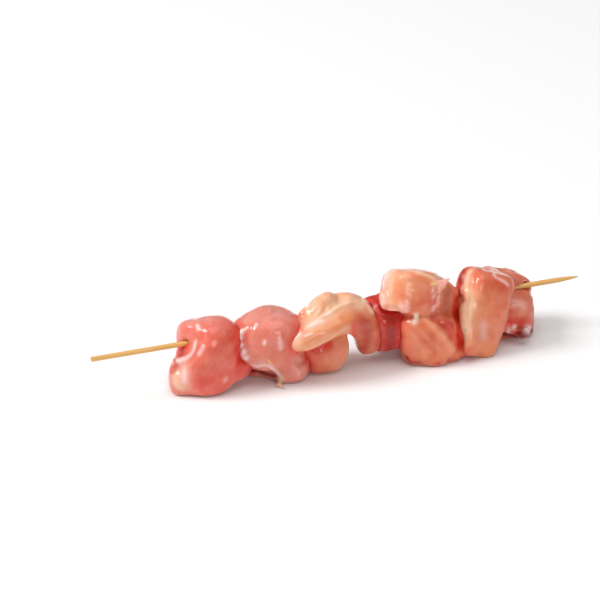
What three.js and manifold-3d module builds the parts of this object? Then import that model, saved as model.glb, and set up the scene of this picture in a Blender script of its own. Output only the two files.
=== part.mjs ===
// A raw chicken kebab: seven folded pieces of breast meat threaded on a bamboo skewer, lying on a
// flat surface. Millimetres, +Z up, the skewer along +X with its point at the +X end.
//
// Every piece of meat is one closed solid, the union of a few cuts. A cut is a strip of meat that
// follows a smooth curve: a straight curve gives a plain lump, a bent one gives a fold. Each piece
// is bored for the skewer, pressed flat where it meets the surface, and kept clear of its neighbours.

import * as THREE from "three";
import { mergeVertices } from "three/addons/utils/BufferGeometryUtils.js";
import Module from "manifold-3d";

const wasm = await Module();
wasm.setup();

// Driving dimensions.
const SKEWER_LENGTH = 250;
const SKEWER_RADIUS = 1.25;
const POINT_LENGTH = 15;
const POINT_RADIUS = 0.25;
const POINT_TAPER = [[1, 1], [0.6, 0.85], [0.2, 0.52]]; // distance to the tip, radius: shares of the full ones
const BLUNT_EDGE = 0.2; // chamfer of the other end
const SKEWER_SIDES = 16;
const BORE_SIDES = 10; // of the hole through each piece of meat
const AXIS_HEIGHT = 24; // skewer's axis above the surface that the meat rests on
const GAP = 0.3; // left between pieces that touch
const WELD = 1e-4; // vertices closer than this are one
const CUT_STEPS = 8; // facets along each edge of a cut
const CUT_SEED_STEP = 0.37; // between the swellings of a piece's cuts
const SWELLS = [
  { height: 0.4, alongX: 37, alongY: 33, alongZ: 27 },
  { height: 0.15, alongX: 15, alongY: 19, alongZ: 17 },
]; // each wave's height and its length along X, Y and Z

// ---------------------------------------------------------------- skewer

function skewerGeometry() {
  const half = SKEWER_LENGTH / 2;
  const profile = [
    [0, -half],
    [SKEWER_RADIUS - BLUNT_EDGE, -half],
    [SKEWER_RADIUS, -half + BLUNT_EDGE],
    ...POINT_TAPER.map(([left, thick]) => [SKEWER_RADIUS * thick, half - POINT_LENGTH * left]),
    [POINT_RADIUS, half],
    [0, half],
  ].map(([r, y]) => new THREE.Vector2(r, y));
  return new THREE.LatheGeometry(profile, SKEWER_SIDES).rotateZ(-Math.PI / 2);
}

// ---------------------------------------------------------------- meat

// How far the skin swells out at a point: slow waves along X, each broken up by waves across it.
// The seed shifts every wave, so no two cuts swell alike.
function swelling(point, seed) {
  return SWELLS.reduce((sum, { height, alongX, alongY, alongZ }) => {
    const lengthwise = Math.sin((2 * Math.PI * point.x) / alongX + 3.1 * seed);
    const sideways = Math.sin((2 * Math.PI * point.y) / alongY + 1.7 * seed);
    const upwards = Math.sin((2 * Math.PI * point.z) / alongZ - 2.3 * seed);
    return sum + height * lengthwise * (sideways + upwards);
  }, 0);
}

// Value at share t (0 to 1) along a list of evenly spaced values, or the one value for all of it.
function along(values, t) {
  if (!Array.isArray(values)) return values;
  const place = t * (values.length - 1);
  const from = Math.min(Math.floor(place), values.length - 2);
  return THREE.MathUtils.lerp(values[from], values[from + 1], place - from);
}

// One cut of meat as a closed solid. path: points that its middle follows, from the skewer's axis;
// width and depth: half sizes across the path, along `across` and square to it, as one value or a
// list along the path; square: 2 is egg-shaped, 5 nearly a block; grow: added on every side.
function cutOfMeat({ path, across = [0, 1, 0], width, depth, square = 3, steps = CUT_STEPS }, seed, grow) {
  const curve = new THREE.CatmullRomCurve3(path.map((p) => new THREE.Vector3(...p)));
  const side = new THREE.Vector3(...across);
  const box = new THREE.BoxGeometry(2, 2, 2, steps, steps, steps);
  const spots = box.attributes.position;
  const point = new THREE.Vector3();
  for (let i = 0; i < spots.count; i++) {
    const [x, y, z] = [spots.getX(i), spots.getY(i), spots.getZ(i)];
    const norm = (Math.abs(x) ** square + Math.abs(y) ** square + Math.abs(z) ** square) ** (1 / square);
    const share = (x / norm + 1) / 2;
    const tangent = curve.getTangentAt(share);
    const w = side.clone().addScaledVector(tangent, -side.dot(tangent)).normalize();
    const n = tangent.clone().cross(w);
    point.copy(curve.getPointAt(share));
    const middle = point.clone();
    point.addScaledVector(w, (y / norm) * (along(width, share) + grow));
    point.addScaledVector(n, (z / norm) * (along(depth, share) + grow));
    point.addScaledVector(tangent, (x / norm) * grow);
    const out = point.clone().sub(middle).addScaledVector(tangent, x / norm).normalize();
    point.addScaledVector(out, swelling(point, seed));
    spots.setXYZ(i, point.x, point.y, point.z);
  }
  return solidFrom(box);
}

function solidFrom(geometry) {
  const bare = new THREE.BufferGeometry();
  bare.setAttribute("position", geometry.getAttribute("position"));
  bare.setIndex(geometry.index);
  const merged = mergeVertices(bare, WELD);
  return new wasm.Manifold(
    new wasm.Mesh({
      numProp: 3,
      vertProperties: merged.attributes.position.array,
      triVerts: new Uint32Array(merged.index.array),
    }),
  );
}

function geometryFrom(solid) {
  const mesh = solid.getMesh();
  const geometry = new THREE.BufferGeometry();
  geometry.setAttribute("position", new THREE.BufferAttribute(mesh.vertProperties, 3));
  geometry.setIndex(new THREE.BufferAttribute(mesh.triVerts, 1));
  geometry.computeVertexNormals();
  return geometry;
}

const PIECES = [
  {
    name: "chicken_1",
    colour: 0xe8826b,
    cuts: [
      {
        path: [[-76, -5, -27], [-68.5, -1, -12], [-64.5, -1, 0], [-64, 2, 11]],
        width: [11, 14, 14, 11], depth: [10, 14.5, 11.5, 10.5], square: 3.4,
      },
      {
        path: [[-80, -10, -19], [-79.5, -3, -18], [-75, 9, -17]],
        width: [7, 9, 9], depth: [8.5, 9, 8], across: [0, 0, 1], square: 2.8, steps: 7,
      },
      {
        path: [[-68, -10, 6], [-70, -3, 6], [-73, 5, 1], [-70, 12, -4]],
        width: [4.5, 5, 9, 8], depth: [5, 5, 8.5, 8], across: [1, 0, 0], square: 2.6, steps: 7,
      },
      {
        path: [[-64, -6, -15], [-48, -5, -15]],
        width: [8, 6], depth: [6, 5.5], square: 2.6, steps: 5,
      },
    ],
  },
  {
    name: "chicken_2",
    colour: 0xe08078,
    cuts: [
      {
        path: [[-54, 0, -4], [-37, -3, -3], [-21, -1, -3]],
        width: [12, 15, 13], depth: [13, 14.5, 13], square: 3,
      },
      {
        path: [[-50, 5, -19], [-38, 4, -20], [-27, -6, -18], [-19, -10, -18.5]],
        width: [10, 9, 11, 10], depth: [6, 7, 9, 8], steps: 7,
      },
    ],
  },
  {
    name: "chicken_3",
    colour: 0xefa078,
    cuts: [
      {
        path: [[-12, -2, -26], [-10, -2, -11], [-6, 1, 2]],
        width: [11, 13, 11], depth: [12, 12.5, 8.5], square: 2.8,
      },
      {
        path: [[-31.5, -17.2, -3.3], [-13, -11, 6.3], [2, -7, 6], [10.5, -4, -4], [13, -4, -19]],
        width: [5.8, 10.5, 10.3, 10, 9], depth: [5, 6, 6, 7.5, 7.5],
        across: [0, 0.85, 0.5], square: 3.8, steps: 9,
      },
    ],
  },
  {
    name: "chicken_4",
    colour: 0xc9614f,
    cuts: [
      {
        path: [[24, -2, -19], [21, -1, -7], [20, 2, 7]],
        width: [11, 13, 11], depth: [12, 13, 11], steps: 7,
      },
    ],
  },
  {
    name: "chicken_5",
    colour: 0xe59070,
    cuts: [
      {
        path: [[22.3, -4, 13.5], [36, -4, 9], [53, -3, 0]],
        width: [12.5, 13.5, 12], depth: [10, 11.5, 10],
        across: [0, 0.93, -0.37], square: 4.6,
      },
      {
        path: [[26.5, -8.5, -12.5], [40, -11, -11.5], [62.5, -9, -22.5]],
        width: [10, 13, 9], depth: [14.5, 14.5, 3], square: 4,
      },
      {
        path: [[29, -4, -8], [45, -4, -7], [57.5, 0, -6]],
        width: [12, 13.5, 10], depth: [12, 15.5, 12], square: 3.4, steps: 7,
      },
    ],
  },
  {
    name: "chicken_6",
    colour: 0xe69a72,
    cuts: [
      {
        path: [[62, -15, -25], [68, -9, -10], [75.5, -4, 14]],
        width: [10, 12, 12], depth: [9.5, 11, 11.8], square: 6,
      },
    ],
  },
  {
    name: "chicken_7",
    colour: 0xcf6f60,
    cuts: [
      {
        path: [[88.5, 5, -29], [88.5, 1, -14], [88, 1, -1.5]],
        width: [11, 12, 11], depth: [10, 12, 11.5], square: 4.5,
      },
      {
        path: [[74, 5, 0], [88, 7, -3], [101, 7, -8]],
        width: [11, 9, 8], depth: [12, 10, 9.5], square: 3, steps: 7,
      },
    ],
  },
];

// The union of a piece's cuts, each grown by `grow` on all sides.
function lumpOf(piece, grow) {
  const place = PIECES.indexOf(piece);
  const cuts = piece.cuts.map((cut, i) => cutOfMeat(cut, place + CUT_SEED_STEP * i, grow));
  return cuts.reduce((whole, cut) => whole.add(cut));
}

function largestBody(solid) {
  return solid.decompose().sort((a, b) => b.volume() - a.volume())[0];
}

// A rod along the skewer, a gap wider than it all round.
function boreThroughMeat() {
  const radius = SKEWER_RADIUS + GAP;
  return solidFrom(new THREE.CylinderGeometry(radius, radius, SKEWER_LENGTH, BORE_SIDES).rotateZ(Math.PI / 2));
}

// A block whose top is the surface that the kebab lies on.
function blockUnderMeat() {
  const block = new THREE.BoxGeometry(SKEWER_LENGTH, SKEWER_LENGTH, SKEWER_LENGTH);
  return solidFrom(block.translate(0, 0, -AXIS_HEIGHT - SKEWER_LENGTH / 2));
}

// ---------------------------------------------------------------- kebab

const raised = new THREE.Group();
raised.position.z = AXIS_HEIGHT;
const kebab = new THREE.Group();
kebab.add(raised);

const bamboo = new THREE.MeshStandardMaterial({ color: 0xd9a860, roughness: 0.7, metalness: 0 });
const skewer = new THREE.Mesh(skewerGeometry(), bamboo);
skewer.name = "skewer";
raised.add(skewer);

const notMeat = boreThroughMeat().add(blockUnderMeat());
for (const [i, piece] of PIECES.entries()) {
  let solid = lumpOf(piece, 0).subtract(notMeat);
  if (i > 0) solid = solid.subtract(lumpOf(PIECES[i - 1], GAP));
  const wetMeat = new THREE.MeshStandardMaterial({ color: piece.colour, roughness: 0.35, metalness: 0 });
  const meat = new THREE.Mesh(geometryFrom(largestBody(solid)), wetMeat);
  meat.name = piece.name;
  raised.add(meat);
}

// Moved front to back, so that the origin is under the middle of the whole kebab.
const extent = new THREE.Box3().setFromObject(kebab);
raised.position.y = -(extent.min.y + extent.max.y) / 2;

export default kebab;
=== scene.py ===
# %% [markdown]
# # A raw chicken kebab, dressed in Blender
# Seven folded cuts of raw breast meat sit on a bamboo skewer and lie on a flat surface. The solid
# model gives every cut its size and place. This script gives each one a continuous wet skin, the
# folds and torn edges of cut muscle, scraps of fat and film, and a translucent flesh material.
#
# Lengths are in metres, with millimetres written as `12 * MM`.

# %% Load the solid model
import math

import bpy
import numpy as np
from mathutils import Matrix, Vector, noise
from mathutils.bvhtree import BVHTree


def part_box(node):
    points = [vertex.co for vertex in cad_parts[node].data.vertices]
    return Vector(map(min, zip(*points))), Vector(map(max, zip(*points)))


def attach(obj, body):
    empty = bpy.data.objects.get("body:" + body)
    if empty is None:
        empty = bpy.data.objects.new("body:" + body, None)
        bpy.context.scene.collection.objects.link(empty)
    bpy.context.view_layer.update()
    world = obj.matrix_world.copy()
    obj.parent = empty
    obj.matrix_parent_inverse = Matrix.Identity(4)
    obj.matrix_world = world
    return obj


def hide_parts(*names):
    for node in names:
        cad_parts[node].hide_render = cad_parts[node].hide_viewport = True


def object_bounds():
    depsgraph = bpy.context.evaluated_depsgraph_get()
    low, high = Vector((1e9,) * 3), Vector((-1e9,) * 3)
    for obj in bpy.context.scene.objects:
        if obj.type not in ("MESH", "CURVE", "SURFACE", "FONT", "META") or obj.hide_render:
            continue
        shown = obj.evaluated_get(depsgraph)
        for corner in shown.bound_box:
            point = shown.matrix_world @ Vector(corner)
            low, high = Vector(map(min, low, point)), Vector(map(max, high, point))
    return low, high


MM = 0.001
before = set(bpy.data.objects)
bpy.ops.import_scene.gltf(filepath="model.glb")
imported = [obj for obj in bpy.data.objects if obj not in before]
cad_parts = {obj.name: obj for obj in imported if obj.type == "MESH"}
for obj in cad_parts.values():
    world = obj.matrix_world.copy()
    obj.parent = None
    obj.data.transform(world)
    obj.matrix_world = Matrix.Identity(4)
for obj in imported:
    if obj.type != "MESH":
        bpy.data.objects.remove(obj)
cad_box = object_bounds()
print("solid nodes:", ", ".join(sorted(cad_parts)))

# %% [markdown]
# ## Camera
# The kebab is looked at from arm's length and a little above, turned so that its point swings
# away to the right. A long lens keeps its near and far ends almost the same size. The camera goes
# in first, because the marks are aimed from it, as a food stylist works on the side that is seen.

# %% Camera
AZIMUTH = math.radians(-20.3)
ELEVATION = math.radians(27)
CAMERA_DISTANCE = 1.6
LENS_MM = 200
AIM_LEFT_OF_MIDDLE = 19.4 * MM
AIM_ABOVE_MIDDLE = 8.15 * MM

skewer_low, skewer_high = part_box("skewer")
skewer_middle = (skewer_low + skewer_high) / 2


def directions(azimuth, elevation):
    """Unit vectors to the right, forward and up, as seen from a camera's azimuth and elevation."""
    forward = Vector((-math.sin(azimuth) * math.cos(elevation),
                      math.cos(azimuth) * math.cos(elevation), -math.sin(elevation)))
    right = Vector((math.cos(azimuth), math.sin(azimuth), 0))
    return right, forward, right.cross(forward)


view_right, view_forward, view_up = directions(AZIMUTH, ELEVATION)
aim = skewer_middle - AIM_LEFT_OF_MIDDLE * view_right + AIM_ABOVE_MIDDLE * view_up
camera_place = aim - CAMERA_DISTANCE * view_forward

bpy.ops.object.camera_add(location=camera_place)
camera = bpy.context.object
camera.rotation_euler = view_forward.to_track_quat("-Z", "Y").to_euler()
camera.data.lens = LENS_MM
camera.data.clip_end = 10
bpy.context.scene.camera = camera
print("camera at", tuple(round(v, 3) for v in camera_place))

# %% [markdown]
# ## Floor and light
# Catalogue food is shot on a white sweep. The key light stands on the left and a little behind, so
# left-hand edges shine, the wet meat glints up and left of each swelling, and the right-hand sides
# stay deep. A wide softbox overhead lights the sweep and the tops, and a weak fill the front.

# %% Floor and light
def hex_colour(text):
    """Linear colour from an sRGB hex value."""
    channels = [int(text[i:i + 2], 16) / 255 for i in (1, 3, 5)]
    linear = [c / 12.92 if c <= 0.04045 else ((c + 0.055) / 1.055) ** 2.4 for c in channels]
    return (*linear, 1.0)


def add_node(tree, kind, inputs=None, **settings):
    """Adds a shader node, sets its properties, and gives its inputs a value or a link."""
    node = tree.nodes.new(kind)
    for name, value in settings.items():
        setattr(node, name, value)
    for name, value in (inputs or {}).items():
        if isinstance(value, bpy.types.NodeSocket):
            tree.links.new(value, node.inputs[name])
        else:
            node.inputs[name].default_value = value
    return node


def area_light(name, azimuth, elevation, distance, size, power):
    """A square soft light that looks at the kebab's middle."""
    a, e = math.radians(azimuth), math.radians(elevation)
    away = Vector((math.sin(a) * math.cos(e), -math.cos(a) * math.cos(e), math.sin(e)))
    bpy.ops.object.light_add(type="AREA", location=skewer_middle + distance * away)
    light = bpy.context.object
    light.name = name
    light.rotation_euler = (-away).to_track_quat("-Z", "Y").to_euler()
    light.data.size = size
    light.data.energy = power
    return light


FLOOR_SIZE = 6.0
bpy.ops.object.select_all(action="DESELECT")
bpy.ops.mesh.primitive_plane_add(size=FLOOR_SIZE)
floor = bpy.context.object
floor.name = "white_sweep"
white_paper = bpy.data.materials.new("white_studio_paper")
white_paper.use_nodes = True
paper_shader = white_paper.node_tree.nodes["Principled BSDF"]
paper_shader.inputs["Base Color"].default_value = hex_colour("#f7f7f7")
paper_shader.inputs["Roughness"].default_value = 0.9
floor.data.materials.append(white_paper)

area_light("key_light", azimuth=-103, elevation=45, distance=2.5, size=1.0, power=43)
area_light("overhead_softbox", azimuth=-10, elevation=82, distance=2.0, size=1.9, power=17)
area_light("front_fill", azimuth=0, elevation=22, distance=2.5, size=0.9, power=9.5)

world = bpy.data.worlds.new("white_studio")
world.use_nodes = True
world.node_tree.nodes["Background"].inputs["Color"].default_value = (1, 1, 1, 1)
world.node_tree.nodes["Background"].inputs["Strength"].default_value = 0.32
bpy.context.scene.world = world
bpy.context.scene.view_settings.view_transform = "Standard"

# %% [markdown]
# ## Tools for working a mesh
# `only` selects one piece, because an operator acts on all that is selected. `applied` adds a
# modifier and applies it at once. `places` and `place` read and write every vertex in one go.

# %% Tools for working a mesh
def only(piece):
    bpy.ops.object.select_all(action="DESELECT")
    piece.select_set(True)
    bpy.context.view_layer.objects.active = piece


def applied(piece, kind, **settings):
    modifier = piece.modifiers.new(kind.lower(), kind)
    for name, value in settings.items():
        setattr(modifier, name, value)
    only(piece)
    bpy.ops.object.modifier_apply(modifier=modifier.name)


def places(piece):
    flat = np.empty(len(piece.data.vertices) * 3, np.float32)
    piece.data.vertices.foreach_get("co", flat)
    return flat.reshape(-1, 3).astype(float)


def outward(piece):
    flat = np.empty(len(piece.data.vertices) * 3, np.float32)
    piece.data.vertex_normals.foreach_get("vector", flat)
    return flat.reshape(-1, 3).astype(float)


def place(piece, points):
    piece.data.vertices.foreach_set("co", points.astype(np.float32).ravel())
    piece.data.update()


def tree_of(pieces):
    """A search tree over the faces of some pieces."""
    points, faces, start = [], [], 0
    for piece in pieces:
        points += [v.co for v in piece.data.vertices]
        faces += [[start + i for i in p.vertices] for p in piece.data.polygons]
        start += len(piece.data.vertices)
    return BVHTree.FromPolygons(points, faces)


def eased(value, low, high):
    """0 below low, 1 above high, and a smooth step between them."""
    t = np.clip((value - low) / (high - low), 0, 1)
    return t * t * (3 - 2 * t)


print("mesh tools ready")

# %% [markdown]
# ## Aiming from the camera
# Marks and scraps are placed as the eye sees them: each spot is a pair of millimetres, right of and
# above the skewer's middle in the camera's view. `sight` turns a spot into a line of sight, and
# `dropped` finds where it meets the meat. Marks on the back are aimed from another side.

# %% Aiming from the camera
def sight(right, up):
    through = skewer_middle + (right * view_right + up * view_up) * MM
    return camera_place, (through - camera_place).normalized()


def sight_from(azimuth, elevation):
    """The same for another side: right and up are then seen from there."""
    right_of, forward, up_of = directions(math.radians(azimuth), math.radians(elevation))

    def ray(right, up):
        start = skewer_middle + (right * right_of + up * up_of) * MM - CAMERA_DISTANCE * forward
        return start, forward
    return ray


def dropped(piece, spots, ray=sight):
    """Where the lines of sight through the spots meet the piece."""
    tree = tree_of([piece])
    hits = [tree.ray_cast(*ray(*spot))[0] for spot in spots]
    if None in hits:
        print("  ", piece.name, "missed", [s for s, h in zip(spots, hits) if h is None])
    return np.array([hit for hit in hits if hit is not None])


def on_floor(right, up, height):
    """The point at a height, in millimetres, over the surface, on the line of sight."""
    start, along = sight(right, up)
    return start + along * (height * MM - start.z) / along.z


print("spots are aimed from the camera")

# %% [markdown]
# ## Scraps
# Knives and skewering leave scraps: a ragged shred, a torn tag, blobs of fat. Each is an ellipse
# that is extruded from point to point and grows or shrinks on the way. A scrap starts inside its
# cut, so the voxel skin that comes next fuses the two.

# %% Scraps
STRIP_SIDES = 10


def strip(points, sizes, wide, thick, facing):
    """A strip through the points. sizes: share of the section at each; facing: its thin way."""
    forward = (points[-1] - points[0]).normalized()
    across = facing.cross(forward).normalized()
    turn = Matrix((across, forward.cross(across), forward)).transposed()
    bpy.ops.object.select_all(action="DESELECT")
    bpy.ops.mesh.primitive_circle_add(vertices=STRIP_SIDES, radius=0.5, fill_type="NGON",
                                      location=points[0], rotation=turn.to_euler())
    scrap = bpy.context.object
    scrap.scale = (wide * MM * sizes[0], thick * MM * sizes[0], 1)
    bpy.ops.object.transform_apply(location=True, rotation=True, scale=True)
    bpy.ops.object.mode_set(mode="EDIT")
    bpy.ops.mesh.select_all(action="SELECT")
    for here, there, size, next_size in zip(points, points[1:], sizes, sizes[1:]):
        bpy.ops.mesh.extrude_region_move(TRANSFORM_OT_translate={"value": there - here})
        bpy.ops.transform.resize(value=(next_size / size,) * 3, center_override=there)
    bpy.ops.mesh.select_all(action="SELECT")
    bpy.ops.mesh.normals_make_consistent(inside=False)
    bpy.ops.object.mode_set(mode="OBJECT")
    return scrap


def in_view(point, right, up, towards):
    """A point moved, in millimetres, as the camera sees it. towards: nearer to the camera."""
    return Vector(point) + (right * view_right + up * view_up - towards * view_forward) * MM


def scraps_for(node):
    """The scraps that belong to a solid node, made against its surface."""
    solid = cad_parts[node]
    if node == "chicken_2":
        shred = [on_floor(-27.5, -26, 4), on_floor(-28.6, -29.8, 2), on_floor(-29.6, -32.4, 1.4),
                 on_floor(-28, -33.4, 1.2), on_floor(-26.2, -35, 0.9)]
        return [strip(shred, [1, 0.8, 0.8, 0.6, 0.25], wide=4.2, thick=2.2, facing=view_forward)]
    if node == "chicken_5":
        root = dropped(solid, [(46.5, 14)])[0]
        tag = [in_view(root, -1, -0.5, -2), in_view(root, 2.5, 1.8, 0.8), in_view(root, 6.2, 4.8, 0.8)]
        fat = [in_view(p, 0, 0, 0.3) for p in dropped(solid, [(36.3, 1.2), (36.4, -0.6), (35.2, -2.4)])]
        return [strip(tag, [1, 0.85, 0.15], wide=6.5, thick=1.9, facing=view_forward),
                strip([Vector(p) for p in fat], [0.6, 1, 0.7], wide=3.2, thick=2.6, facing=view_forward)]
    if node == "chicken_7":
        root = dropped(solid, [(86, -4)])[0]
        curl = [in_view(root, -8.5, -2.4, 0), in_view(root, -4, -3, 1.2), in_view(root, 1, -3.8, 1.5),
                in_view(root, 4.5, -3.6, 0.5)]
        return [strip(curl, [0.6, 0.9, 1.1, 0.8], wide=3.2, thick=2.6, facing=view_forward)]
    return []


print("scraps are cut when each skin is made")

# %% [markdown]
# ## One skin for each cut
# A cut of breast meat is one soft muscle, so its folds flow into each other. The solid has the
# folds as separate lumps with facets. A copy of it is subdivided, joined with its scraps, wrapped
# in an even voxel skin and smoothed, which melts facets and joints and keeps the form. The skin is
# then swollen by as much as the smoothing shrank it. Both ease off round thin scraps and round the
# skewer, where the skin is later drawn in until the meat grips the bamboo.

# %% One skin for each cut
VOXEL = 0.5 * MM
HOLE_NEAR = 1.9 * MM  # from the skewer's axis: no heavy smoothing up to here
HOLE_FAR = 4.5 * MM  # full smoothing from here on
SCRAP_NEAR = 0.6 * MM  # the same two distances from a scrap
SCRAP_FAR = 3.0 * MM
SCRAP_LEAST = 0.06  # share of the smoothing that a scrap still gets
HOLE_SOLID = 1.5 * MM  # about the hole's radius in the solid
GRIP = 1.27 * MM  # the hole's final radius, against the skewer's 1.25 mm
LIGHT_ROUNDS = 5


def from_axis(points):
    return np.hypot(points[:, 1] - skewer_middle.y, points[:, 2] - skewer_middle.z)


def gripping(points):
    """The points with the hole drawn in round the skewer."""
    radius = from_axis(points)
    beyond = np.maximum(radius, HOLE_SOLID) - HOLE_SOLID
    grip = GRIP + beyond * (HOLE_FAR - GRIP) / (HOLE_FAR - HOLE_SOLID)
    share = np.where(radius < HOLE_FAR, grip / np.maximum(radius, 0.1 * MM), 1)
    middle = np.array((0, skewer_middle.y, skewer_middle.z))
    drawn = middle + (points - middle) * share[:, None]
    drawn[:, 0] = points[:, 0]
    return drawn


CRISP = ["chicken_6"]  # its knife-cut edges stay sharp


def skin_of(node, name, rounds):
    """A new piece with the solid's form, as one even smooth skin. rounds: passes of smoothing."""
    scraps = scraps_for(node)
    thin = np.vstack([places(scrap) for scrap in scraps]) if scraps else np.empty((0, 3))
    piece = bpy.data.objects.new(name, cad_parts[node].data.copy())
    bpy.context.scene.collection.objects.link(piece)
    piece.data.materials.clear()
    only(piece)
    bpy.ops.object.mode_set(mode="EDIT")
    bpy.ops.mesh.select_all(action="SELECT")
    bpy.ops.mesh.remove_doubles(threshold=0.01 * MM)
    bpy.ops.object.mode_set(mode="OBJECT")
    if node not in CRISP:
        applied(piece, "SUBSURF", levels=1, render_levels=1)
    only(piece)
    for scrap in scraps:
        scrap.select_set(True)
    if scraps:
        bpy.ops.object.join()
    applied(piece, "REMESH", mode="VOXEL", voxel_size=VOXEL)
    points = places(piece)
    weights = eased(from_axis(points), HOLE_NEAR, HOLE_FAR)
    for corner in thin:
        away = np.linalg.norm(points - corner, axis=1)
        weights = np.minimum(weights, SCRAP_LEAST + eased(away, SCRAP_NEAR, SCRAP_FAR))
    care = piece.vertex_groups.new(name="soft")
    for index, weight in enumerate(weights.tolist()):
        care.add((index,), min(weight, 1), "REPLACE")
    applied(piece, "SMOOTH", factor=0.5, iterations=LIGHT_ROUNDS)
    applied(piece, "SMOOTH", factor=0.5, iterations=rounds, vertex_group="soft")
    applied(piece, "SMOOTH", factor=0.5, iterations=LIGHT_ROUNDS)
    piece.vertex_groups.clear()
    smooth, normals = places(piece), outward(piece)
    shrunk = np.einsum("ij,ij->i", points - smooth, normals).mean()
    place(piece, smooth + normals * (shrunk * np.minimum(weights, 1))[:, None])
    return piece


ROUNDS = {
    "chicken_1": 100,
    "chicken_2": 100,
    "chicken_3": 35,
    "chicken_4": 200,
    "chicken_5": 20,
    "chicken_6": 14,
    "chicken_7": 80,
}
meat = {}
for node, rounds in ROUNDS.items():
    meat[node] = skin_of(node, node.replace("chicken", "breast_cut"), rounds)
print("vertices:", {node: len(piece.data.vertices) for node, piece in meat.items()})

# %% [markdown]
# ## Cuts pressed together
# Threading pushes the cuts hard against each other, so no gap is left between them, only a tight
# crease. Where two skins are close, each is pushed towards the other, the more so the closer they are.

# %% Cuts pressed together
PRESS_REACH = 6 * MM
PRESS_MOST = 0.85  # share of the gap that a skin moves where it nearly touches
PRESS_AHEAD = 0.3  # how squarely a skin has to face the other one, as a cosine


def press_together(pieces):
    moves = {}
    for piece in pieces:
        others = tree_of([other for other in pieces if other is not piece])
        move = np.zeros((len(piece.data.vertices), 3))
        for i, vertex in enumerate(piece.data.vertices):
            hit, _, _, gap = others.find_nearest(vertex.co, PRESS_REACH)
            if hit is not None and gap > 0 and vertex.normal.dot(hit - vertex.co) > PRESS_AHEAD * gap:
                share = PRESS_MOST * (1 - gap / PRESS_REACH) ** 0.5
                move[i] = (hit - vertex.co) * share
        moves[piece] = move
    for piece, move in moves.items():
        place(piece, places(piece) + move)
        applied(piece, "SMOOTH", factor=0.5, iterations=3)


press_together(list(meat.values()))
print("cuts pressed together")

# %% [markdown]
# ## Colours of raw breast
# Breast meat is no single pink. Thick muscle is coral and a fresh knife face is apricot. The paler
# colours are also painted on as highlights, where light falls on tops, left sides and ridges and
# where wet spots glint, and the deep reds as painted shade in creases, seams, recesses and
# undersides. The palette gives each its plain name. Every piece carries a colour layer that starts
# as its own body colour and takes each mark's tint.

# %% Colours of raw breast
PALETTE = {
    "coral": "#e2705e",
    "rose": "#df806d",
    # blush, shell and cream are paler flesh tones, also painted as highlights on lit tops, sides and ridges
    "blush": "#dd8f82",
    "shell": "#e8b0a2",
    "peach": "#e89d74",
    "apricot": "#e68f5c",
    "cream": "#efc9a8",
    "orange": "#e07a54",
    "salmon": "#d2603f",
    # the next two are mostly painted shade: on shaded sides, undersides, seams and the fourth cut
    "rust": "#b83420",
    "brick": "#9c2013",
    "clay": "#d67a5c",
    # the next four are painted shade: the red of creases, seams, recesses and undersides
    "painted_shade_glow": "#da301c",
    "red": "#c01e10",
    "painted_deep_shade": "#a9150b",
    "wine": "#800703",
    "beige": "#dcbc9e",
    # silverskin film, and also the painted glint of wet spots
    "film_and_painted_glint": "#f2dcd6",
    "butter": "#f2cf8e",
}


def start_colour(piece, colour):
    layer = piece.data.color_attributes.new("flesh", "FLOAT_COLOR", "POINT")
    layer.data.foreach_set("color", np.tile(hex_colour(PALETTE[colour]), len(piece.data.vertices)))


def paint(piece, colour, amount):
    """Mixes a colour of the palette into the piece's layer. amount: 0 to 1, for each vertex."""
    layer = piece.data.color_attributes["flesh"]
    values = np.empty(len(piece.data.vertices) * 4, np.float32)
    layer.data.foreach_get("color", values)
    values = values.reshape(-1, 4)
    share = np.clip(amount, 0, 1)[:, None]
    values += (np.array(hex_colour(PALETTE[colour])) - values) * share
    layer.data.foreach_set("color", values.ravel())


BODY = {
    "chicken_1": "coral",
    "chicken_2": "rose",
    "chicken_3": "peach",
    # the fourth cut's dark body colour is painted shade: it sits behind its neighbours
    "chicken_4": "brick",
    "chicken_5": "orange",
    "chicken_6": "orange",
    "chicken_7": "clay",
}
for node, piece in meat.items():
    start_colour(piece, BODY[node])
print("body colours:", BODY)

# %% [markdown]
# ## Painted shade in hollows and seams, painted highlight on ridges
# Raw chicken is translucent. Light that enters a hollow, or the seam between two cuts, comes back
# red, while ridges and thin edges look paler. That light and shade is painted into the colour layer:
# red painted shade in the hollows and seams, and a pale painted highlight on the ridges. A much
# smoothed copy shows which is which: skin that lies below the copy is a hollow, and skin above it a
# ridge. The gap to the other cuts gives the seams.

# %% Painted shade in hollows and seams, painted highlight on ridges
HOLLOW_ROUNDS = 160
SEAM_REACH = 5.5 * MM


def hollowness(piece):
    """How far the skin lies below (positive) or above a smoothed copy of itself, in metres."""
    copy = piece.copy()
    copy.data = piece.data.copy()
    bpy.context.scene.collection.objects.link(copy)
    applied(copy, "SMOOTH", factor=0.5, iterations=HOLLOW_ROUNDS)
    gap = np.einsum("ij,ij->i", places(copy) - places(piece), outward(piece))
    bpy.data.objects.remove(copy)
    return gap


for node, piece in meat.items():
    hollow = hollowness(piece)
    others = tree_of([other for other in meat.values() if other is not piece])
    seam = np.array([others.find_nearest(v.co, SEAM_REACH)[3] or SEAM_REACH for v in piece.data.vertices])
    # painted shade in hollows and seams, and a painted highlight on ridges
    paint(piece, "red", 0.5 * eased(hollow, 0.05 * MM, 0.8 * MM))
    paint(piece, "painted_shade_glow", 0.85 * eased(-seam, -SEAM_REACH, -0.5 * MM))
    paint(piece, "shell", 0.25 * eased(-hollow, 0.2 * MM, 0.9 * MM))
print("seams and ridges tinted")

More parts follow.
